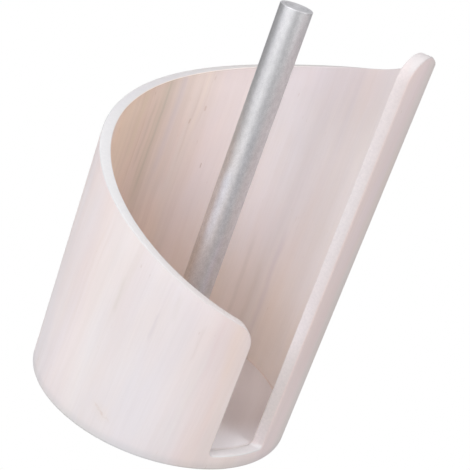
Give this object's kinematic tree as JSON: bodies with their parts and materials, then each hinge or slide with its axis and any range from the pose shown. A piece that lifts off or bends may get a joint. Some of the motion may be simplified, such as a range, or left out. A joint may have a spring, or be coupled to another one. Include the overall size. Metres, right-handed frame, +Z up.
{
  "type": "paper towel holder",
  "caption": "Upright paper towel holder: a round whitewashed wooden well with a spiral rim and a front slot, round an upright aluminium rod.",
  "frame": {"origin": "under the middle of the base, on the rod's axis, at the surface that the holder stands on", "axes": "+Z up along the rod; -Y is the front, where the slot is; +X is the right, the side of the slot where the wall is tallest"},
  "size_m": [0.154, 0.154, 0.2454],
  "materials": {
    "wall_wood": "whitewashed pale wood with a faint upright grain, silky matt",
    "base_wood": "whitewashed pale wood with a faint straight grain, silky matt",
    "rod_aluminium": "satin, fine mottled grain",
    "screw_steel": "zinc plated, satin",
    "foot_felt": "dense wool felt"
  },
  "bodies": {
    "root": {"shell": "wall_wood", "base_disc": "base_wood", "rod": "rod_aluminium", "rod_screw": "screw_steel", "foot_1": "foot_felt", "foot_2": "foot_felt", "foot_3": "foot_felt", "foot_4": "foot_felt"}
  },
  "joints": []
}
